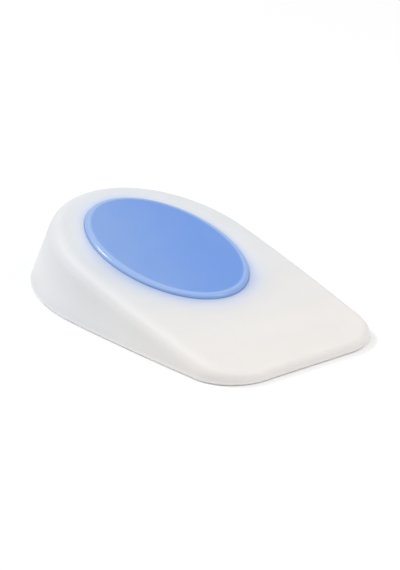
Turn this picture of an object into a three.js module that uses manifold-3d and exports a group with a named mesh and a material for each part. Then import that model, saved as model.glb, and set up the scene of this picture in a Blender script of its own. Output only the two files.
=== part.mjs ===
// Heel cup: a moulded silicone cup for the back of a shoe, with an oval core of softer gel in its sole.
//
// Both pieces are drawn upright, as they sit in a shoe: X runs from the heel's back to the front edge,
// Y across, and Z up from the flat sole. The rim lies in one plane that slopes down to the front.
// The pair is then turned over and laid on that rim, sole up, as the cup lies on a table.
// Lengths are in millimetres and angles in degrees.

import * as THREE from 'three';
import { mergeVertices } from 'three/addons/utils/BufferGeometryUtils.js';
import Module from 'manifold-3d';

// Outline of the rim, seen from above
const cupLength = 105;
const heelWidth = 62.5;
const frontWidth = 58;
const heelReach = 41.5;
const frontCornerRadius = 14;
const sideFullness = 1.7;

// Walls
const heelHeight = 23.5;
const frontHeight = 3;
const heelDraft = 15;
const sideDraft = 10;
const soleEdgeRadius = 3.2;
const rimThickness = 2;

// The share of a low wall that the sole's rounded edge may take up
const edgeShare = 0.8;

// Hollow for the heel
const heelFloor = 6.5;
const bowlCentre = 46;
const bowlFullness = 2.3;

// How much closer the bowl's rings stand at the rim than at its deepest point
const bowlCrowding = 1.5;

// Gel core, measured in from the edge of the flat sole
const gelBackMargin = 5;
const gelSideMargin = 6.7;
const gelFrontMargin = 32.9;
const gelDepth = 3;
const gelProud = 1.2;
const gelCrown = 0.4;
const gelShoulder = 1.2;

// Where the crown's slope eases off: a share of the core's half width, and of the crown's height
const crownInset = 0.5;
const crownRise = 0.75;

// The gap that is left between the core and its pocket
const seatGap = 0.3;

// Steps round the outline and up the section
const sideSteps = 22;
const heelSteps = 18;
const cornerSteps = 8;
const frontSteps = 6;
const edgeSteps = 5;
const wallSteps = 3;
const rimSteps = 3;
const bowlSteps = 12;
const ovalSteps = 72;
const shoulderSteps = 4;

const radians = THREE.MathUtils.degToRad;
const lerp = THREE.MathUtils.lerp;

// Height of the rim's plane above the sole, at x along the cup
function rimHeight(x) {
  return lerp(heelHeight, frontHeight, x / cupLength);
}

// Thickness of the floor: level under the heel, then thinning out to the front edge
function floorHeight(x) {
  return lerp(heelFloor, frontHeight, THREE.MathUtils.smoothstep(x, bowlCentre, cupLength));
}

// Half width of the rim ahead of the heel's round, at a share of the side's length
function sideHalfWidth(share) {
  return heelWidth / 2 - ((heelWidth - frontWidth) / 2) * Math.pow(share, sideFullness);
}

// One half of the rim's outline, from the middle of the heel's back to the middle of the front edge
function halfOutline() {
  const points = [];
  for (let i = 0; i < heelSteps; i++) {
    const angle = (i / heelSteps) * Math.PI / 2;
    points.push([heelReach * (1 - Math.cos(angle)), heelWidth / 2 * Math.sin(angle)]);
  }
  const sideLength = cupLength - frontCornerRadius - heelReach;
  for (let i = 0; i < sideSteps; i++) {
    const share = i / sideSteps;
    points.push([heelReach + sideLength * share, sideHalfWidth(share)]);
  }
  const cornerY = frontWidth / 2 - frontCornerRadius;
  for (let i = 0; i < cornerSteps; i++) {
    const angle = (i / cornerSteps) * Math.PI / 2;
    points.push([
      cupLength - frontCornerRadius * (1 - Math.sin(angle)),
      cornerY + frontCornerRadius * Math.cos(angle),
    ]);
  }
  for (let i = 0; i <= frontSteps; i++) {
    points.push([cupLength, cornerY * (1 - i / frontSteps)]);
  }
  return points;
}

// The closed outline, with the inward normal at each point
function closedOutline() {
  const half = halfOutline();
  const mirrored = half.slice(1, -1).reverse().map(([x, y]) => [x, -y]);
  const points = half.concat(mirrored).map(([x, y]) => new THREE.Vector2(x, y));
  return points.map((point, i) => {
    const before = points[(i - 1 + points.length) % points.length];
    const after = points[(i + 1) % points.length];
    const along = after.clone().sub(before).normalize();
    return { x: point.x, y: point.y, inX: along.y, inY: -along.x };
  });
}

// Tangent of the wall's lean at an outline point: the heel's draft at the back, the sides' elsewhere
function leanAt(point) {
  const facingBack = Math.max(0, point.inX) ** 2;
  return lerp(Math.tan(radians(sideDraft)), Math.tan(radians(heelDraft)), facingBack);
}

// Radius of the sole's edge at an outline point, limited by the wall's height there
function edgeRadius(point) {
  return Math.min(soleEdgeRadius, (rimHeight(point.x) - rimThickness / 2) * edgeShare);
}

// Section of the sole's rounded edge at one outline point: distance in from the rim's outline, and height
function edgeSection(point) {
  const top = rimHeight(point.x);
  const lean = leanAt(point);
  const radius = edgeRadius(point);
  const section = [];
  for (let i = 0; i <= edgeSteps; i++) {
    const angle = (1 - i / edgeSteps) * Math.PI / 2;
    const height = radius * (1 - Math.sin(angle));
    section.push({ inward: (top - height) * lean + radius * (1 - Math.cos(angle)), height });
  }
  return section;
}

// Section of the wall above that edge, and of the rim's round up to its crest
function rimSection(point) {
  const top = rimHeight(point.x);
  const lean = leanAt(point);
  const rimRadius = rimThickness / 2;
  const wallFoot = edgeRadius(point);
  const section = [];
  for (let i = 1; i <= wallSteps; i++) {
    const height = lerp(wallFoot, top - rimRadius, i / wallSteps);
    section.push({ inward: (top - height) * lean, belowRim: top - height });
  }
  for (let i = 1; i <= rimSteps; i++) {
    const angle = (i / rimSteps) * Math.PI / 2;
    const inward = rimRadius * (1 - Math.cos(angle)) + rimRadius * lean * Math.cos(angle);
    section.push({ inward, belowRim: rimRadius * (1 - Math.sin(angle)) });
  }
  return section;
}

// Rings of points, each a list of [x, y, z], from the edge of the sole over the rim to its crest
function wallRings(outline) {
  const sections = outline.map((point) => [...edgeSection(point), ...rimSection(point)]);
  return sections[0].map((_, step) => outline.map((point, i) => {
    const { inward, height, belowRim } = sections[i][step];
    const x = point.x + point.inX * inward;
    const y = point.y + point.inY * inward;
    return [x, y, height ?? rimHeight(x) - belowRim];
  }));
}

// Rings of the heel bowl, drawn in from the rim's crest towards the bowl's deepest point
function bowlRings(crest) {
  const rings = [];
  for (let step = 1; step < bowlSteps; step++) {
    const share = (step / bowlSteps) ** bowlCrowding;
    const sunk = Math.pow(1 - Math.pow(1 - share, bowlFullness), 1 / bowlFullness);
    rings.push(crest.map(([x, y]) => {
      const ringX = lerp(x, bowlCentre, share);
      const height = lerp(rimHeight(ringX), floorHeight(ringX), sunk);
      return [ringX, y * (1 - share), height];
    }));
  }
  return rings;
}

// Closed mesh through rings of equal count, with a pole at each end
function loft(startPole, rings, endPole) {
  const count = rings[0].length;
  const vertices = [startPole, ...rings.flat(), endPole];
  const last = vertices.length - 1;
  const index = [];
  for (let i = 0; i < count; i++) {
    const next = (i + 1) % count;
    index.push(0, 1 + i, 1 + next);
    for (let ring = 0; ring < rings.length - 1; ring++) {
      const low = 1 + ring * count;
      const high = low + count;
      index.push(low + i, high + i, high + next);
      index.push(low + i, high + next, low + next);
    }
    const top = 1 + (rings.length - 1) * count;
    index.push(top + i, last, top + next);
  }
  const geometry = new THREE.BufferGeometry();
  geometry.setAttribute('position', new THREE.Float32BufferAttribute(vertices.flat(), 3));
  geometry.setIndex(index);
  return geometry;
}

// Ring of an oval at a height, its outline moved in by a distance
function ovalRing(oval, inward, height) {
  const ring = [];
  for (let i = 0; i < ovalSteps; i++) {
    const angle = -(i / ovalSteps) * Math.PI * 2;
    ring.push([
      oval.x + (oval.halfLength - inward) * Math.cos(angle),
      (oval.halfWidth - inward) * Math.sin(angle),
      height,
    ]);
  }
  return ring;
}

// Where the gel core lies: its oval keeps the named margins to the edge of the flat sole
function gelOval(soleEdge) {
  const back = Math.min(...soleEdge.map(([x]) => x)) + gelBackMargin;
  const front = Math.max(...soleEdge.map(([x]) => x)) - gelFrontMargin;
  const side = Math.max(...soleEdge.map(([, y]) => y)) - gelSideMargin;
  return { x: (back + front) / 2, halfLength: (front - back) / 2, halfWidth: side };
}

const wasm = await Module();
wasm.setup();

// A closed mesh as a solid that can be cut
function toSolid(geometry) {
  const bare = new THREE.BufferGeometry();
  bare.setAttribute('position', geometry.getAttribute('position'));
  bare.setIndex(geometry.getIndex());
  const merged = mergeVertices(bare);
  return new wasm.Manifold(new wasm.Mesh({
    numProp: 3,
    vertProperties: merged.getAttribute('position').array,
    triVerts: new Uint32Array(merged.getIndex().array),
  }));
}

// A cut solid back as a mesh
function toGeometry(solid) {
  const mesh = solid.getMesh();
  const geometry = new THREE.BufferGeometry();
  geometry.setAttribute('position', new THREE.BufferAttribute(mesh.vertProperties, 3));
  geometry.setIndex(new THREE.BufferAttribute(mesh.triVerts, 1));
  return geometry;
}

// The silicone cup, with the pocket for the core cut into its sole
function cupGeometry(outline, rings, oval) {
  const crest = rings[rings.length - 1];
  const soleCentre = [bowlCentre, 0, 0];
  const bowlPole = [bowlCentre, 0, floorHeight(bowlCentre)];
  const cup = loft(soleCentre, [...rings, ...bowlRings(crest)], bowlPole);
  const pocketTop = gelDepth + seatGap;
  const mouth = ovalRing(oval, -seatGap, -gelProud);
  const end = ovalRing(oval, -seatGap, pocketTop);
  const pocket = loft([oval.x, 0, -gelProud], [mouth, end], [oval.x, 0, pocketTop]);
  return toGeometry(toSolid(cup).subtract(toSolid(pocket)));
}

// The gel core, from its slightly crowned face over a rounded shoulder to a flat back in the pocket
function gelGeometry(oval) {
  const face = gelCrown - gelProud;
  const rings = [ovalRing(oval, oval.halfWidth * crownInset, face - gelCrown * crownRise)];
  for (let i = 0; i <= shoulderSteps; i++) {
    const angle = (i / shoulderSteps) * Math.PI / 2;
    const inward = gelShoulder * (1 - Math.sin(angle));
    rings.push(ovalRing(oval, inward, face + gelShoulder * (1 - Math.cos(angle))));
  }
  rings.push(ovalRing(oval, 0, gelDepth));
  return loft([oval.x, 0, -gelProud], rings, [oval.x, 0, gelDepth]);
}

const silicone = new THREE.MeshStandardMaterial({
  name: 'silicone',
  color: '#ebeae8',
  roughness: 0.5,
  metalness: 0,
});

const gel = new THREE.MeshStandardMaterial({
  name: 'gel',
  color: '#83a2e0',
  roughness: 0.35,
  metalness: 0,
});

function namedMesh(name, geometry, material) {
  geometry.computeVertexNormals();
  const mesh = new THREE.Mesh(geometry, material);
  mesh.name = name;
  return mesh;
}

const outline = closedOutline();
const rings = wallRings(outline);
const oval = gelOval(rings[0]);

// Turned over about X, so that the sole faces up
const turned = new THREE.Group();
turned.rotation.x = Math.PI;
turned.add(namedMesh('heel_cup_body', cupGeometry(outline, rings, oval), silicone));
turned.add(namedMesh('gel_core', gelGeometry(oval), gel));

// Tipped forward until the rim's plane is level
const laid = new THREE.Group();
laid.rotation.y = Math.atan((heelHeight - frontHeight) / cupLength);
laid.add(turned);

// Moved so that the origin is at the middle of the surface that it lies on
const heelCup = new THREE.Group();
heelCup.add(laid);
heelCup.updateMatrixWorld(true);
const box = new THREE.Box3().setFromObject(heelCup, true);
laid.position.set(-(box.min.x + box.max.x) / 2, 0, -box.min.z);

export default heelCup;
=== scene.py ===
import math

import bpy
from mathutils import Matrix, Vector


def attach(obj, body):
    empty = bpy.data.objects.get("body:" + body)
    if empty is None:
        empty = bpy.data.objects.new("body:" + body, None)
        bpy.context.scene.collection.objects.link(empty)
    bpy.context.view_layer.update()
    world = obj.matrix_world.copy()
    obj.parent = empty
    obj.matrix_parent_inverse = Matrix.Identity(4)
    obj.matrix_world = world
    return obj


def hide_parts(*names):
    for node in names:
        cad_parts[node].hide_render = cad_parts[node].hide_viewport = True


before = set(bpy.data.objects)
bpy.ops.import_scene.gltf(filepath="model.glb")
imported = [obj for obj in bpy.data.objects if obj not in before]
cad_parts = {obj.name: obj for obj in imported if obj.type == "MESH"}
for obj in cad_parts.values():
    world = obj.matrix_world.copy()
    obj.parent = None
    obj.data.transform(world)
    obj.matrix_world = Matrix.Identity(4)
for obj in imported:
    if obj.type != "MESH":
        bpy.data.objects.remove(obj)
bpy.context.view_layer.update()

scene = bpy.context.scene

# The floor: a seamless sheet of white paper, which the cup lies on with its rim.
# It carries only the cup's soft shadow, so it is matt and a shade under pure white.
FLOOR_HALF = 3.0
PAPER_WHITE = "#fcfcfc"


def linear(hex_colour):
    """A colour given as sRGB hex, turned to the linear values that shaders use."""
    channels = [int(hex_colour[i:i + 2], 16) / 255 for i in (1, 3, 5)]
    return [c / 12.92 if c <= 0.04045 else ((c + 0.055) / 1.055) ** 2.4
            for c in channels] + [1.0]


def new_material(name):
    """An empty node material, and the tree to build in."""
    material = bpy.data.materials.new(name)
    material.use_nodes = True
    tree = material.node_tree
    tree.nodes.clear()
    return material, tree


def add_node(tree, kind, settings=None, inputs=None):
    """Adds a node, sets its properties, and sets or links its inputs."""
    node = tree.nodes.new(kind)
    for name, value in (settings or {}).items():
        setattr(node, name, value)
    for name, value in (inputs or {}).items():
        if isinstance(value, bpy.types.NodeSocket):
            tree.links.new(value, node.inputs[name])
        else:
            node.inputs[name].default_value = value
    return node


paper, tree = new_material("white_paper")
shader = add_node(tree, "ShaderNodeBsdfPrincipled", inputs={
    "Base Color": linear(PAPER_WHITE), "Roughness": 0.9, "Specular IOR Level": 0.1})
add_node(tree, "ShaderNodeOutputMaterial", inputs={"Surface": shader.outputs["BSDF"]})

floor_mesh = bpy.data.meshes.new("floor")
corners = [(side_x * FLOOR_HALF, side_y * FLOOR_HALF, 0.0)
           for side_x, side_y in ((-1, -1), (1, -1), (1, 1), (-1, 1))]
floor_mesh.from_pydata(corners, [], [(0, 1, 2, 3)])
floor_mesh.materials.append(paper)
floor = bpy.data.objects.new("floor", floor_mesh)
scene.collection.objects.link(floor)

# The cup: one moulding of milky silicone rubber, turned over so that it lies on its rim, sole up.
# It is drawn upright in its own axes, from heel to front edge, across, and up from the sole, and
# each point is then turned over, tipped until the rim is level, and put where the CAD part is.
CUP_LENGTH = 0.105
HEEL_WIDTH = 0.0625
FRONT_WIDTH = 0.058
HEEL_REACH = 0.0415  # length of the half ellipse round the heel
CORNER_RADIUS = 0.014
SIDE_FULLNESS = 1.7  # the higher, the longer the sides stay wide
HEEL_HEIGHT = 0.0235
FRONT_HEIGHT = 0.003
HEEL_DRAFT = math.tan(math.radians(15))
SIDE_DRAFT = math.tan(math.radians(10))
SOLE_EDGE = 0.0032  # radius between the sole and the walls
EDGE_SHARE = 0.8  # the most of the wall's height that this radius takes up
RIM_THICKNESS = 0.002
HEEL_FLOOR = 0.0065  # thickness of the floor under the heel
BOWL_CENTRE = 0.046  # the bowl's deepest point, measured from the back
BOWL_FULLNESS = 2.3  # the higher, the squarer the bowl's section
CORE_BACK_MARGIN = 0.005  # the flat sole left behind the core, beside it and in front of it
CORE_SIDE_MARGIN = 0.0067
CORE_FRONT_MARGIN = 0.0329
CORE_DEPTH = 0.003
POCKET_GAP = 0.00012
POCKET_LIP = 0.0005
POCKET_LIP_DEPTH = 0.0002

# How finely the outline, the wall's section, the pocket's lip and the bowl are drawn.
HEEL_STEPS = 60
SIDE_STEPS = 50
CORNER_STEPS = 24
FRONT_STEPS = 16
EDGE_STEPS = 12
WALL_STEPS = 12
CREST_STEPS = 8
LIP_STEPS = 5
BOWL_STEPS = 40
BOWL_SPACING = 1.5  # above 1, the rings are closer near the rim, where the bowl is steepest
POCKET_FLOOR_SHARES = (0.8, 0.5, 0.2, 0.05, 0.0)  # of the core's half width, in from its edge
POCKET_CORNER_SHARE = 0.98  # rings that hold the pocket's wall straight, next to its floor ...
POCKET_TOP_SHARE = 1.5  # ... and next to its lip
SOLE_SHARES = (0.03, 0.1, 0.25, 0.4, 0.55, 0.7, 0.85, 0.95)  # from the pocket to the sole's edge

tilt = math.atan((HEEL_HEIGHT - FRONT_HEIGHT) / CUP_LENGTH)


def rim_height(x):
    """Height of the rim's plane above the sole."""
    return HEEL_HEIGHT + (FRONT_HEIGHT - HEEL_HEIGHT) * x / CUP_LENGTH


def floor_height(x):
    """Thickness of the cup's floor, which thins from the bowl's deepest point to the front."""
    run = min(1.0, max(0.0, (x - BOWL_CENTRE) / (CUP_LENGTH - BOWL_CENTRE)))
    return HEEL_FLOOR + (FRONT_HEIGHT - HEEL_FLOOR) * run * run * (3 - 2 * run)


def half_outline():
    """Half of the rim's outline, from the middle of the heel's back to the middle of the front."""
    points = []
    for i in range(HEEL_STEPS):
        angle = i / HEEL_STEPS * math.pi / 2
        points.append((HEEL_REACH * (1 - math.cos(angle)), HEEL_WIDTH / 2 * math.sin(angle)))
    side_length = CUP_LENGTH - CORNER_RADIUS - HEEL_REACH
    for i in range(SIDE_STEPS):
        share = i / SIDE_STEPS
        drawn_in = (HEEL_WIDTH - FRONT_WIDTH) / 2 * share ** SIDE_FULLNESS
        points.append((HEEL_REACH + side_length * share, HEEL_WIDTH / 2 - drawn_in))
    corner_y = FRONT_WIDTH / 2 - CORNER_RADIUS
    for i in range(CORNER_STEPS):
        angle = i / CORNER_STEPS * math.pi / 2
        points.append((CUP_LENGTH - CORNER_RADIUS * (1 - math.sin(angle)),
                       corner_y + CORNER_RADIUS * math.cos(angle)))
    for i in range(FRONT_STEPS + 1):
        points.append((CUP_LENGTH, corner_y * (1 - i / FRONT_STEPS)))
    return points


def closed_outline():
    """The whole outline: each point, its direction inwards, and how much the wall leans there."""
    half = half_outline()
    points = half + [(x, -y) for x, y in reversed(half[1:-1])]
    outline = []
    for i, (x, y) in enumerate(points):
        before, after = points[i - 1], points[(i + 1) % len(points)]
        along = Vector((after[0] - before[0], after[1] - before[1])).normalized()
        facing_back = max(0.0, along.y) ** 2
        lean = SIDE_DRAFT + (HEEL_DRAFT - SIDE_DRAFT) * facing_back
        outline.append((x, y, along.y, -along.x, lean))
    return outline


def cup_section(x, lean):
    """The wall's section, from the sole over its edge and up the wall to the rim's crest. A point
    is how far in from the outline, 0 or 1 for measured from the sole or the rim, and how high."""
    top = rim_height(x)
    crest = RIM_THICKNESS / 2
    edge = min(SOLE_EDGE, (top - crest) * EDGE_SHARE)
    section = []
    for i in range(EDGE_STEPS + 1):
        angle = (1 - i / EDGE_STEPS) * math.pi / 2
        height = edge * (1 - math.sin(angle))
        section.append(((top - height) * lean + edge * (1 - math.cos(angle)), 0, height))
    for i in range(1, WALL_STEPS + 1):
        height = edge + (top - crest - edge) * i / WALL_STEPS
        section.append(((top - height) * lean, 1, height - top))
    for i in range(1, CREST_STEPS + 1):
        angle = i / CREST_STEPS * math.pi / 2
        inward = crest * (1 - math.cos(angle)) + crest * lean * math.cos(angle)
        section.append((inward, 1, -crest * (1 - math.sin(angle))))
    return section


outline = closed_outline()
sections = [cup_section(x, lean) for x, _, _, _, lean in outline]
wall_rings = []
for step in range(len(sections[0])):
    ring = []
    for (x, y, in_x, in_y, _), section in zip(outline, sections):
        inward, from_rim, height = section[step]
        moved_x = x + in_x * inward
        ring.append((moved_x, y + in_y * inward, from_rim * rim_height(moved_x) + height))
    wall_rings.append(ring)

sole_edge = wall_rings[0]
core_back = min(p[0] for p in sole_edge) + CORE_BACK_MARGIN
core_front = max(p[0] for p in sole_edge) - CORE_FRONT_MARGIN
core_x = (core_back + core_front) / 2
core_half_length = (core_front - core_back) / 2
core_half_width = max(p[1] for p in sole_edge) - CORE_SIDE_MARGIN

# place turns an upright point over, tips it, and puts it where the CAD part is
turn = Matrix.Rotation(tilt, 4, "Y") @ Matrix.Rotation(math.pi, 4, "X")
crest_low = min((turn @ Vector(p)).z for p in wall_rings[-1])
turned_x = [(turn @ Vector(p)).x for ring in wall_rings for p in ring]
place = Matrix.Translation((-(min(turned_x) + max(turned_x)) / 2, 0, -crest_low)) @ turn


def oval_ring(grow, height):
    """Ring round the core's oval, moved out by grow, one point facing each of the outline's."""
    ring = []
    for px, py, _ in sole_edge:
        angle = math.atan2(py / core_half_width, (px - core_x) / core_half_length)
        ring.append((core_x + (core_half_length + grow) * math.cos(angle),
                     (core_half_width + grow) * math.sin(angle), height))
    return ring


def blend_rings(a, b, share):
    """Ring that lies a share of the way from one ring to another."""
    return [tuple(p + (q - p) * share for p, q in zip(pa, pb)) for pa, pb in zip(a, b)]


def loft(name, start, rings, end):
    """A closed mesh through rings of equal count, with a pole at each end, put in its place."""
    count = len(rings[0])
    points = [start] + [p for ring in rings for p in ring] + [end]
    faces = []
    for i in range(count):
        j = (i + 1) % count
        faces.append((0, 1 + i, 1 + j))
        for k in range(len(rings) - 1):
            low = 1 + k * count
            faces.append((low + i, low + count + i, low + count + j, low + j))
        low = 1 + (len(rings) - 1) * count
        faces.append((low + i, len(points) - 1, low + j))
    mesh = bpy.data.meshes.new(name)
    mesh.from_pydata([place @ Vector(p) for p in points], [], faces)
    for polygon in mesh.polygons:
        polygon.use_smooth = True
    piece = bpy.data.objects.new(name, mesh)
    scene.collection.objects.link(piece)
    return piece


pocket_floor = CORE_DEPTH + POCKET_GAP
pocket = [oval_ring(POCKET_GAP - core_half_width * share, pocket_floor)
          for share in POCKET_FLOOR_SHARES]
pocket.append(oval_ring(POCKET_GAP, pocket_floor * POCKET_CORNER_SHARE))
pocket.append(oval_ring(POCKET_GAP, POCKET_LIP_DEPTH * POCKET_TOP_SHARE))
for i in range(LIP_STEPS + 1):
    angle = i / LIP_STEPS * math.pi / 2
    pocket.append(oval_ring(POCKET_GAP + POCKET_LIP * (1 - math.cos(angle)),
                            POCKET_LIP_DEPTH * (1 - math.sin(angle))))
sole = [blend_rings(pocket[-1], sole_edge, share) for share in SOLE_SHARES]
bowl = []
for step in range(1, BOWL_STEPS):
    share = (step / BOWL_STEPS) ** BOWL_SPACING
    sunk = (1 - (1 - share) ** BOWL_FULLNESS) ** (1 / BOWL_FULLNESS)
    ring = []
    for x, y, _ in wall_rings[-1]:
        px = x + (BOWL_CENTRE - x) * share
        depth = (floor_height(px) - rim_height(px)) * sunk
        ring.append((px, y * (1 - share), rim_height(px) + depth))
    bowl.append(ring)

cup = loft("cup_moulding", (core_x, 0, pocket_floor), pocket + sole + wall_rings + bowl,
           (BOWL_CENTRE, 0, floor_height(BOWL_CENTRE)))

SOFT_STEP = {"interpolation_type": "SMOOTHSTEP"}
COLOURS = {"data_type": "RGBA"}
COLOUR_A, COLOUR_B, COLOUR_OUT = 6, 7, 2  # a Mix node's colour sockets, which share their names


def oval_frame(tree):
    """A point's place, its place from the middle of the core, along, across and up from the sole,
    and how far it is past the core's edge, measured from that middle."""
    position = add_node(tree, "ShaderNodeTexCoord").outputs["Object"]
    on_sole = add_node(tree, "ShaderNodeMapping", {"vector_type": "TEXTURE"}, {
        "Vector": position, "Location": place @ Vector((core_x, 0, 0)), "Rotation": (0, tilt, 0)})
    flat = add_node(tree, "ShaderNodeVectorMath", {"operation": "MULTIPLY"}, {
        0: on_sole.outputs["Vector"], 1: (1.0, 1.0, 0.0)})
    squeezed = add_node(tree, "ShaderNodeVectorMath", {"operation": "DIVIDE"}, {
        0: flat.outputs["Vector"], 1: (core_half_length, core_half_width, 1.0)})
    from_middle = add_node(tree, "ShaderNodeVectorMath", {"operation": "LENGTH"}, {
        0: flat.outputs["Vector"]})
    in_ovals = add_node(tree, "ShaderNodeVectorMath", {"operation": "LENGTH"}, {
        0: squeezed.outputs["Vector"]})
    to_edge = add_node(tree, "ShaderNodeMath", {"operation": "DIVIDE"}, {
        0: from_middle.outputs["Value"], 1: in_ovals.outputs["Value"]})
    past_edge = add_node(tree, "ShaderNodeMath", {"operation": "SUBTRACT"}, {
        0: from_middle.outputs["Value"], 1: to_edge.outputs["Value"]})
    parts = add_node(tree, "ShaderNodeSeparateXYZ", inputs={"Vector": on_sole.outputs["Vector"]})
    return position, parts.outputs, past_edge.outputs["Value"]


# Silicone rubber, pressed in a blasted steel mould: milky, satin, and faintly see-through.
# Light soaks a few millimetres in and comes back soft. The colour is clouded by a percent or two,
# and painted lighter and warmer from the thick heel to the thin front. Painted shade darkens it
# down from the sole's edge and towards the sole's margin, and painted light brightens it low on
# the walls and on the rim, next to the floor. Round the core a blue glow and shade is painted: a
# wide, greyish band on the near side, where the eye would look through the rubber at the core's
# side, and a narrow, clear one on the far side, a little wider at the heel.
# HEEL_WHITE to FRONT_WHITE is painted light: the rubber painted lighter and warmer towards the thin
# front
HEEL_WHITE = "#e5e7ea"
FRONT_WHITE = "#f3efeb"
# A painted blue glow and shade round the core, wider and greyer on the near side: its colours and
# reaches.
FAR_PAINTED_GLOW = "#c0d6ff"
NEAR_PAINTED_GLOW = "#a3bae4"
TOWARDS_NEAR = (0.785, -0.62, 0.0)
FAR_GLOW_REACH = 0.0012
NEAR_GLOW_REACH = 0.0037
HEEL_GLOW_REACH = 0.0008  # what the painted glow reaches further at the heel
GLOW_BEND = 1.3  # above 1, the painted glow holds near the core and then fades faster
CLOUD_SIZE = 0.011
CLOUD_DETAIL = 3.0
CLOUD_RANGE = {"From Min": 0.3, "From Max": 0.7}  # where nearly all of the noise lies
CLOUD_TONE = 0.98
SATIN_ROUGHNESS = 0.44
DULL_ROUGHNESS = 0.52
GRAIN_SIZE = 0.0005
GRAIN_DETAIL = 2.0
GRAIN_DEPTH = 0.00004
GRAIN_STRENGTH = 0.25

silicone, tree = new_material("milky_silicone")
position, on_sole, past_edge = oval_frame(tree)
towards_near = add_node(tree, "ShaderNodeVectorMath", {"operation": "DOT_PRODUCT"}, {
    0: position, 1: TOWARDS_NEAR})
above_floor = add_node(tree, "ShaderNodeSeparateXYZ", inputs={"Vector": position})

# Each soft change: the measure in metres that it follows, where on it the change starts and
# ends, and its value there.
changes = {
    "nearness": (towards_near.outputs["Value"], -0.018, 0.016, 0.0, 1.0),
    "heel_reach": (on_sole["X"], -core_half_length * 0.6, -core_half_length,
                   0.0, HEEL_GLOW_REACH),
    # the next two weaken the painted blue glow at the core's front end and deep below the sole
    "front_glow": (on_sole["X"], core_half_length * 0.9, core_half_length * 1.1, 0.8, 0.6),
    "deep_glow": (on_sole["Z"], -HEEL_FLOOR, -0.0015, 0.4, 1.0),
    # painted light: lighter and warmer towards the thin front
    "painted_warm_light": (on_sole["X"], -0.01, 0.065, 0.0, 1.0),
    # the last four are painted: shade down from the sole's edge, light low on the walls, light on
    # the rim over its contact shadow, and shade towards the sole's margin
    "edge_painted_shade": (on_sole["Z"], -0.004, -0.0002, 0.925, 1.0),
    "low_wall_painted_light": (on_sole["Z"], -0.016, -0.002, 1.1, 1.0),
    "rim_painted_light": (above_floor.outputs["Z"], 0.0003, RIM_THICKNESS * 0.8, 1.22, 1.0),
    "margin_painted_shade": (past_edge, 0.002, 0.0065, 1.0, 0.965)}
soft = {}
for name, (measure, start, end, first, last) in changes.items():
    soft[name] = add_node(tree, "ShaderNodeMapRange", SOFT_STEP, {
        "Value": measure, "From Min": start, "From Max": end,
        "To Min": first, "To Max": last}).outputs["Result"]

# The painted blue glow and shade round the core, fading with the distance past its edge.
reach = add_node(tree, "ShaderNodeMapRange", inputs={
    "Value": soft["nearness"], "To Min": FAR_GLOW_REACH, "To Max": NEAR_GLOW_REACH})
whole_reach = add_node(tree, "ShaderNodeMath", {"operation": "ADD"}, {
    0: reach.outputs["Result"], 1: soft["heel_reach"]})
past = add_node(tree, "ShaderNodeMath", {"operation": "MAXIMUM"}, {0: past_edge, 1: 0.0})
ratio = add_node(tree, "ShaderNodeMath", {"operation": "DIVIDE"}, {
    0: past.outputs["Value"], 1: whole_reach.outputs["Value"]})
bent = add_node(tree, "ShaderNodeMath", {"operation": "POWER"}, {
    0: ratio.outputs["Value"], 1: GLOW_BEND})
negative = add_node(tree, "ShaderNodeMath", {"operation": "MULTIPLY"}, {
    0: bent.outputs["Value"], 1: -1.0})
painted_glow = add_node(tree, "ShaderNodeMath", {"operation": "EXPONENT"}, {
    0: negative.outputs["Value"]}).outputs["Value"]
for name in ("front_glow", "deep_glow"):
    painted_glow = add_node(tree, "ShaderNodeMath", {"operation": "MULTIPLY"}, {
        0: painted_glow, 1: soft[name]}).outputs["Value"]
glow_colour = add_node(tree, "ShaderNodeMix", COLOURS, {
    "Factor": soft["nearness"], COLOUR_A: linear(FAR_PAINTED_GLOW), COLOUR_B: linear(NEAR_PAINTED_GLOW)})

cloud = add_node(tree, "ShaderNodeTexNoise", inputs={
    "Vector": position, "Scale": 1 / CLOUD_SIZE, "Detail": CLOUD_DETAIL})
cloud_and_painted_shade = add_node(tree, "ShaderNodeMapRange", inputs={
    "Value": cloud.outputs["Fac"], **CLOUD_RANGE, "To Min": CLOUD_TONE}).outputs["Result"]
# Painted shade and painted light multiplied into the random clouding.
for name in ("edge_painted_shade", "low_wall_painted_light", "rim_painted_light", "margin_painted_shade"):
    cloud_and_painted_shade = add_node(tree, "ShaderNodeMath", {"operation": "MULTIPLY"}, {
        0: cloud_and_painted_shade, 1: soft[name]}).outputs["Value"]
# Painted light: the white runs lighter and warmer from the heel to the front.
white = add_node(tree, "ShaderNodeMix", COLOURS, {
    "Factor": soft["painted_warm_light"], COLOUR_A: linear(HEEL_WHITE), COLOUR_B: linear(FRONT_WHITE)})
clouded_and_shaded = add_node(tree, "ShaderNodeVectorMath", {"operation": "SCALE"}, {
    0: white.outputs[COLOUR_OUT], "Scale": cloud_and_painted_shade})
# The painted blue glow and shade mixed over the white.
glowing = add_node(tree, "ShaderNodeMix", COLOURS, {
    "Factor": painted_glow, COLOUR_A: clouded_and_shaded.outputs["Vector"],
    COLOUR_B: glow_colour.outputs[COLOUR_OUT]})

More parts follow.
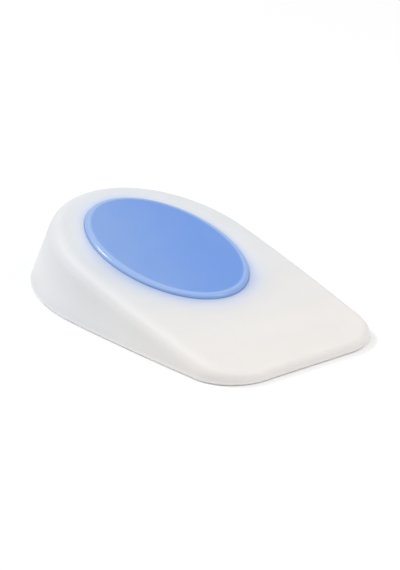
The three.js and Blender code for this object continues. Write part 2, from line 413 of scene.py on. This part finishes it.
patchy = add_node(tree, "ShaderNodeMapRange", inputs={
    "Value": cloud.outputs["Fac"], **CLOUD_RANGE,
    "To Min": SATIN_ROUGHNESS, "To Max": DULL_ROUGHNESS})
grain = add_node(tree, "ShaderNodeTexNoise", inputs={
    "Vector": position, "Scale": 1 / GRAIN_SIZE, "Detail": GRAIN_DETAIL})
bump = add_node(tree, "ShaderNodeBump", inputs={
    "Height": grain.outputs["Fac"], "Strength": GRAIN_STRENGTH, "Distance": GRAIN_DEPTH})
shader = add_node(tree, "ShaderNodeBsdfPrincipled", inputs={
    "Base Color": glowing.outputs[COLOUR_OUT], "Roughness": patchy.outputs["Result"], "IOR": 1.41,
    "Normal": bump.outputs["Normal"],
    "Subsurface Weight": 0.5, "Subsurface Radius": (1.0, 0.95, 0.9), "Subsurface Scale": 0.003})
add_node(tree, "ShaderNodeOutputMaterial", inputs={"Surface": shader.outputs["BSDF"]})
cup.data.materials.append(silicone)
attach(cup, "root")
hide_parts("heel_cup_body")

# The core: a pad of softer blue gel, poured into the pocket and cured there, so it is bonded all
# round. It stands a little proud of the sole, with a face crowned by two tenths of a millimetre
# and a shoulder rounded where the gel drew in. One rule gives it: a section, swept round an oval.
CORE_GROWTH = 0.0001  # into the pocket's gap
CORE_PROUD = 0.0012
CORE_CROWN = 0.0002
CORE_SHOULDER = 0.0014
CORE_WAVE = 0.00006
WAVE_SCALE = 110.0  # about one wave in 9 mm
WAVE_DETAIL = 1.0
POINTS_ROUND = 193
POINTS_IN_SECTION = 81
SHEET_HALF = 0.5
WELD = 0.000004
FULL_TURN = 2 * math.pi

pad_tree = bpy.data.node_groups.new("oval_pad", "GeometryNodeTree")
pad_tree.is_modifier = True
pad_tree.interface.new_socket("Pad", in_out="OUTPUT", socket_type="NodeSocketGeometry")
pad_sizes = {
    "Half Length": core_half_length + CORE_GROWTH, "Half Width": core_half_width + CORE_GROWTH,
    "Depth": CORE_DEPTH, "Proud": CORE_PROUD, "Crown": CORE_CROWN,
    "Shoulder": CORE_SHOULDER, "Wave": CORE_WAVE}
pad_sockets = {
    name: pad_tree.interface.new_socket(name, in_out="INPUT", socket_type="NodeSocketFloat")
    for name in pad_sizes}
pad_sockets["Gel"] = pad_tree.interface.new_socket(
    "Gel", in_out="INPUT", socket_type="NodeSocketMaterial")
size = add_node(pad_tree, "NodeGroupInput").outputs

# A sheet, unrolled: across it runs the way round the oval, and up it runs the section, from the
# middle of the face over the shoulder and down the side to the middle of the back.
sheet = add_node(pad_tree, "GeometryNodeMeshGrid", inputs={
    "Vertices X": POINTS_ROUND, "Vertices Y": POINTS_IN_SECTION})
unrolled = add_node(pad_tree, "ShaderNodeSeparateXYZ", inputs={
    "Vector": add_node(pad_tree, "GeometryNodeInputPosition").outputs["Position"]})
up_section = add_node(pad_tree, "ShaderNodeMath", {"operation": "ADD"}, {
    0: unrolled.outputs["Y"], 1: SHEET_HALF})
ripple = add_node(pad_tree, "ShaderNodeTexNoise", inputs={
    "Scale": WAVE_SCALE, "Detail": WAVE_DETAIL})
values = {name: size[name] for name in pad_sizes}
values["across"] = unrolled.outputs["X"]
values["ripple"] = ripple.outputs["Fac"]
for name, start, end in (("on_face", 0.0, 0.45), ("on_shoulder", 0.45, 0.7),
                         ("on_side", 0.7, 0.8), ("on_back", 0.8, 1.0)):
    values[name] = add_node(pad_tree, "ShaderNodeMapRange", inputs={
        "Value": up_section.outputs["Value"],
        "From Min": start, "From Max": end}).outputs["Result"]

# The rule, a step to a line: the value's name, what makes it, and what it is made from.
for name, operation, *terms in (
        ("round_angle", "MULTIPLY", "across", FULL_TURN),
        ("round_cosine", "COSINE", "round_angle"),
        ("round_sine", "SINE", "round_angle"),
        ("shoulder_angle", "MULTIPLY", "on_shoulder", FULL_TURN / 4),
        ("shoulder_cosine", "COSINE", "shoulder_angle"),
        ("shoulder_sine", "SINE", "shoulder_angle"),
        ("inset_share", "SUBTRACT", 1.0, "shoulder_sine"),
        ("inset", "MULTIPLY", "Shoulder", "inset_share"),
        ("before_back", "SUBTRACT", 1.0, "on_back"),
        ("share_out", "MULTIPLY", "on_face", "before_back"),
        ("length_here", "SUBTRACT", "Half Length", "inset"),
        ("reach_along", "MULTIPLY", "length_here", "share_out"),
        ("along", "MULTIPLY", "reach_along", "round_cosine"),
        ("x", "ADD", core_x, "along"),
        ("width_here", "SUBTRACT", "Half Width", "inset"),
        ("reach_across", "MULTIPLY", "width_here", "share_out"),
        ("y", "MULTIPLY", "reach_across", "round_sine"),
        ("face_squared", "MULTIPLY", "on_face", "on_face"),
        ("crown_drop", "MULTIPLY", "Crown", "face_squared"),
        ("shoulder_height", "SUBTRACT", "Proud", "Crown"),
        ("shoulder_share", "SUBTRACT", 1.0, "shoulder_cosine"),
        ("shoulder_drop", "MULTIPLY", "shoulder_height", "shoulder_share"),
        ("side_drop", "MULTIPLY", "on_side", "Depth"),
        ("drop_to_sole", "ADD", "crown_drop", "shoulder_drop"),
        ("drop", "ADD", "drop_to_sole", "side_drop"),
        ("z", "SUBTRACT", "drop", "Proud"),
        ("off_middle", "SUBTRACT", "ripple", 0.5),
        ("lift", "MULTIPLY", "Wave", "off_middle")):
    terms = [values.get(term, term) for term in terms]
    values[name] = add_node(pad_tree, "ShaderNodeMath", {"operation": operation},
                            dict(enumerate(terms))).outputs["Value"]

section_point = add_node(pad_tree, "ShaderNodeCombineXYZ", inputs={
    "X": values["x"], "Y": values["y"], "Z": values["z"]})
swept = add_node(pad_tree, "GeometryNodeSetPosition", inputs={
    "Geometry": sheet.outputs["Mesh"], "Position": section_point.outputs["Vector"]})
closed = add_node(pad_tree, "GeometryNodeMergeByDistance", inputs={
    "Geometry": swept.outputs["Geometry"], "Distance": WELD})
shift = add_node(pad_tree, "ShaderNodeVectorMath", {"operation": "SCALE"}, {
    0: add_node(pad_tree, "GeometryNodeInputNormal").outputs["Normal"], "Scale": values["lift"]})
rippled = add_node(pad_tree, "GeometryNodeSetPosition", inputs={
    "Geometry": closed.outputs["Geometry"], "Offset": shift.outputs["Vector"]})
smooth = add_node(pad_tree, "GeometryNodeSetShadeSmooth", inputs={
    "Geometry": rippled.outputs["Geometry"]})
realized = add_node(pad_tree, "GeometryNodeRealizeInstances", inputs={
    "Geometry": smooth.outputs["Geometry"]})
painted = add_node(pad_tree, "GeometryNodeSetMaterial", inputs={
    "Geometry": realized.outputs["Geometry"], "Material": size["Gel"]})
add_node(pad_tree, "NodeGroupOutput", inputs={"Pad": painted.outputs["Geometry"]})

# Soft silicone gel, dyed blue: glossier than the cup, because it cured against polished steel.
# Its blue has a painted sheen, lighter towards the near side and darker towards the far side, and
# a pale painted highlight round its rounded rim, beside the line of light its coat takes there.
# The two blues are a painted sheen: lighter towards the near side, darker towards the far side.
SHEEN_BLUE = "#7fa5e4"
FAR_SIDE_BLUE = "#6b99e5"
# the pale colour of the painted highlight round the rim
PAINTED_HIGHLIGHT_BLUE = "#a9c4ee"
TOWARDS_FAR_SIDE = (0.28, 0.96, 0.0)
GEL_CLOUD_SIZE = 0.008
GEL_CLOUD_SHARE = 0.5

gel, tree = new_material("blue_soft_gel")
position, _, past_edge = oval_frame(tree)
towards_dense = add_node(tree, "ShaderNodeVectorMath", {"operation": "DOT_PRODUCT"}, {
    0: position, 1: TOWARDS_FAR_SIDE})

# Its soft changes, given as the silicone's are.
changes = {
    # the painted sheen across the face
    "density": (towards_dense.outputs["Value"], -0.02, 0.01, 0.0, 1.0),
    # where the painted highlight band round the rim starts and ends
    "highlight_start": (past_edge, -0.0021, -0.0012, 0.0, 1.0),
    "highlight_end": (past_edge, -0.0011, -0.0005, 0.75, 0.5)}
soft = {}
for name, (measure, start, end, first, last) in changes.items():
    soft[name] = add_node(tree, "ShaderNodeMapRange", SOFT_STEP, {
        "Value": measure, "From Min": start, "From Max": end,
        "To Min": first, "To Max": last}).outputs["Result"]

cloud = add_node(tree, "ShaderNodeTexNoise", inputs={
    "Vector": position, "Scale": 1 / GEL_CLOUD_SIZE, "Detail": CLOUD_DETAIL})
clouding = add_node(tree, "ShaderNodeMath", {"operation": "MULTIPLY_ADD"}, {
    0: cloud.outputs["Fac"], 1: GEL_CLOUD_SHARE, 2: -GEL_CLOUD_SHARE / 2})
sheen_and_cloud = add_node(tree, "ShaderNodeMath", {"operation": "ADD", "use_clamp": True}, {
    0: soft["density"], 1: clouding.outputs["Value"]})
# Painted sheen across the blue, with random clouding added.
sheened_blue = add_node(tree, "ShaderNodeMix", COLOURS, {
    "Factor": sheen_and_cloud.outputs["Value"], COLOUR_A: linear(SHEEN_BLUE), COLOUR_B: linear(FAR_SIDE_BLUE)})
# Painted highlight: a pale band round the rounded rim.
highlight_share = add_node(tree, "ShaderNodeMath", {"operation": "MULTIPLY"}, {
    0: soft["highlight_start"], 1: soft["highlight_end"]})
colour = add_node(tree, "ShaderNodeMix", COLOURS, {
    "Factor": highlight_share.outputs["Value"], COLOUR_A: sheened_blue.outputs[COLOUR_OUT],
    COLOUR_B: linear(PAINTED_HIGHLIGHT_BLUE)})
shader = add_node(tree, "ShaderNodeBsdfPrincipled", inputs={
    "Base Color": colour.outputs[COLOUR_OUT], "Roughness": 0.34, "IOR": 1.43,
    "Coat Weight": 0.7, "Coat Roughness": 0.1, "Coat IOR": 1.43,
    "Subsurface Weight": 0.3, "Subsurface Radius": (0.5, 0.8, 1.0), "Subsurface Scale": 0.0015})
add_node(tree, "ShaderNodeOutputMaterial", inputs={"Surface": shader.outputs["BSDF"]})

core = bpy.data.objects.new("gel_core_pad", bpy.data.meshes.new("gel_core_pad"))
scene.collection.objects.link(core)
sweep = core.modifiers.new("sweep", "NODES")
sweep.node_group = pad_tree
for name, value in pad_sizes.items():
    sweep[pad_sockets[name].identifier] = value
sweep[pad_sockets["Gel"].identifier] = gel
swept_core = core.evaluated_get(bpy.context.evaluated_depsgraph_get())
pad_mesh = bpy.data.meshes.new_from_object(swept_core)
core.modifiers.clear()
core.data = pad_mesh
pad_mesh.transform(place)
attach(core, "root")
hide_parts("gel_core")

# The light: an even, white studio room, with a long strip panel over the cup, across the view, a
# small panel high on the left and on the right, and a wide, low one that fills in the heel's walls.
ROOM_WHITE = "#ffffff"
ROOM_LIGHT = 0.55

world = bpy.data.worlds.new("studio_room")
world.use_nodes = True
tree = world.node_tree
tree.nodes.clear()
room = add_node(tree, "ShaderNodeBackground", inputs={
    "Color": linear(ROOM_WHITE), "Strength": ROOM_LIGHT})
add_node(tree, "ShaderNodeOutputWorld", inputs={"Surface": room.outputs["Background"]})
scene.world = world


def panel(name, azimuth, elevation, distance, width, depth, power):
    """A soft panel that faces the cup from the given direction, azimuth 0 being along its width,
    on the near side."""
    azimuth, elevation = math.radians(azimuth), math.radians(elevation)
    light = bpy.data.lights.new(name, "AREA")
    light.shape = "RECTANGLE"
    light.size = width
    light.size_y = depth
    light.energy = power
    lamp = bpy.data.objects.new(name, light)
    towards = Vector((math.sin(azimuth) * math.cos(elevation),
                      -math.cos(azimuth) * math.cos(elevation), math.sin(elevation)))
    lamp.location = towards * distance
    lamp.rotation_euler = towards.to_track_quat("Z", "Y").to_euler()
    scene.collection.objects.link(lamp)


panel("strip_panel", azimuth=51.7, elevation=80, distance=1.1, width=2.0, depth=0.2, power=4.8)
panel("left_panel", azimuth=-68, elevation=48, distance=1.3, width=0.22, depth=0.22, power=3.8)
panel("right_panel", azimuth=122, elevation=42, distance=1.3, width=0.4, depth=0.4, power=1.8)
panel("heel_panel", azimuth=-50, elevation=8, distance=1.3, width=0.6, depth=0.2, power=1.4)

# The camera: the photograph's station, about 1.17 m from the cup and 22 degrees above it, off its
# near front corner, with a longer lens, so that the cup fills the frame.
STATION = Vector((0.847, -0.6687, 0.4532))
AIM = Vector((0.0021, 0.0039, 0.0062))
LENS = 270.0
SENSOR_WIDTH = 36.0

camera_data = bpy.data.cameras.new("camera")
camera_data.sensor_width = SENSOR_WIDTH
camera_data.lens = LENS
camera = bpy.data.objects.new("camera", camera_data)
camera.location = STATION
camera.rotation_euler = (STATION - AIM).to_track_quat("Z", "Y").to_euler()
scene.collection.objects.link(camera)
scene.camera = camera

scene.view_settings.view_transform = "Standard"
